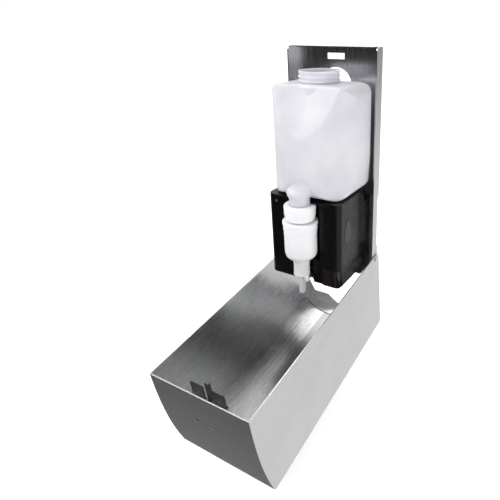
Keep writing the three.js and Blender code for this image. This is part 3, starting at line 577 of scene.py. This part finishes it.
def make_pump():
    collar = turned(
        [(12.5, 78.6), (15.4, 78.6), (15.7, 79.4), (15.7, 83.0), (16.3, 83.4), (16.3, 92.8), (15.7, 93.5),
         (15.0, 93.7), (10.8, 93.7), (10.8, 84.7), (14.5, 84.7), (14.5, 80.2), (12.5, 80.2)],
        PUMP_AXIS, 0.3, 216, collar_ribs,
    )
    new_piece("collar_ribbed", collar, "pump_collar")
    barrel = turned(
        [(9.1, 33.2), (10.6, 33.2), (13.6, 34.6), (15.9, 37.0), (17.0, 40.2), (17.2, 43.5), (17.2, 61.2),
         (17.4, 61.6), (17.4, 66.6), (17.9, 67.0), (17.9, 73.2), (18.5, 73.6), (18.5, 75.9), (17.4, 76.4),
         (12.2, 76.4), (12.2, 80.5), (14.2, 80.5), (14.2, 82.3), (2.8, 82.3), (2.8, 79.8), (5, 79.2), (5, 75),
         (2.6, 75), (2.6, 74), (12.4, 74), (12.4, 36.5), (9.1, 36.5)],
        PUMP_AXIS, 0.5, 112,
    )
    new_piece("barrel_moulded", barrel, "pump_body")
    actuator = turned(
        [(3, 42.4), (3, 4.6), (5.1, 4.6), (5.6, 6), (5.6, 12.9), (8.2, 12.9), (8.75, 13.5), (8.75, 16.0),
         (8.5, 16.4), (8.5, 26.0), (8.75, 26.4), (8.75, 36.9), (12.1, 36.9), (12.1, 38.4), (10.9, 38.4),
         (10.9, 40.8), (12.1, 40.8), (12.1, 42.4)],
        PUMP_AXIS, 0.3, 88,
    )
    new_piece("actuator_moulded", actuator, "plunger")
    lug = rounded_block("actuator_lug", at(4.6, -85.2, 7.8), at(10.2, -80.6, 14.0), 1.1)
    new_piece("actuator_lug", lug, "plunger", replaces=False)
    tip = turned(
        [(1.4, 9.6), (1.4, -8), (1.1, -9.4), (2.9, -9.4), (3.3, -8.8), (3.55, 1), (4.4, 2), (4.4, 4.3),
         (2.7, 4.3), (2.7, 9.6)],
        PUMP_AXIS, 0.25, 64,
    )
    new_piece("nozzle_moulded", tip, "nozzle_tip")


def rounded_block(name, low, high, width):
    """A block with wide rounded edges between two corners."""
    bm = bmesh.new()
    bmesh.ops.create_cube(bm, size=1.0)
    middle, size = (low + high) / 2, high - low
    for v in bm.verts:
        v.co = middle + Vector((v.co.x * size.x, v.co.y * size.y, v.co.z * size.z))
    bmesh.ops.bevel(bm, geom=bm.edges[:], offset=width * MM, segments=4, profile=0.5, affect="EDGES")
    mesh = bpy.data.meshes.new(name)
    bm.to_mesh(mesh)
    bm.free()
    shade_by_angle(mesh, 60)
    return mesh


NECK_CUT = 210.4
NECK_OUTER = 20.2
NECK_INNER = 17.7
NECK_SHIFT = Vector((0, NECK_AXIS.y, 0))
SKIN_STEP = 0.9
RELAX_STEPS = 14


def blown_mesh(source):
    """The bottle's solid as one soft skin: remeshed evenly, then relaxed as blown plastic is."""
    mesh = source.data.copy()
    obj = bpy.data.objects.new("blown", mesh)
    bpy.context.collection.objects.link(obj)
    weld = obj.modifiers.new("weld", "WELD")
    weld.merge_threshold = WELD
    remesh = obj.modifiers.new("remesh", "REMESH")
    remesh.mode = "VOXEL"
    remesh.voxel_size = SKIN_STEP * MM
    relax = obj.modifiers.new("relax", "SMOOTH")
    relax.factor = 0.5
    relax.iterations = RELAX_STEPS
    graph = bpy.context.evaluated_depsgraph_get()
    made = bpy.data.meshes.new_from_object(obj.evaluated_get(graph))
    bpy.data.objects.remove(obj)
    bm = bmesh.new()
    bm.from_mesh(made)
    cut = at(0, 0, NECK_CUT)
    everything = bm.verts[:] + bm.edges[:] + bm.faces[:]
    bmesh.ops.bisect_plane(bm, geom=everything, plane_co=cut, plane_no=(0, 0, 1), clear_outer=True)
    for v in bm.verts:
        if v.is_boundary:
            flat = Vector((v.co.x, v.co.y, 0)) - NECK_SHIFT
            want = NECK_OUTER if flat.length > (NECK_OUTER + NECK_INNER) / 2 * MM else NECK_INNER
            v.co = NECK_SHIFT + flat.normalized() * want * MM + Vector((0, 0, cut.z))
    bm.to_mesh(made)
    bm.free()
    made.shade_smooth()
    return made


def neck_mesh():
    """The threaded neck, open at its foot where it meets the blown skin."""
    top = 222.0
    outline = [(NECK_OUTER, NECK_CUT), (NECK_OUTER, 211.4), (NECK_OUTER + 1.2, 212.1), (NECK_OUTER + 1.2, 212.9),
               (NECK_OUTER, 213.6), (NECK_OUTER, 215.4), (NECK_OUTER + 1.2, 216.1), (NECK_OUTER + 1.2, 216.9),
               (NECK_OUTER, 217.6), (NECK_OUTER, 220.0), (NECK_OUTER + 0.6, 220.5), (NECK_OUTER + 0.6, top),
               (NECK_INNER, top), (NECK_INNER, NECK_CUT)]
    return turned(outline, NECK_AXIS, 0.35, 128)


def make_bottle():
    new_piece("bottle_blown", blown_mesh(NODES["bottle"]), "bottle")
    new_piece("bottle_neck", neck_mesh(), "bottle", replaces=False)


make_pump()
make_bottle()
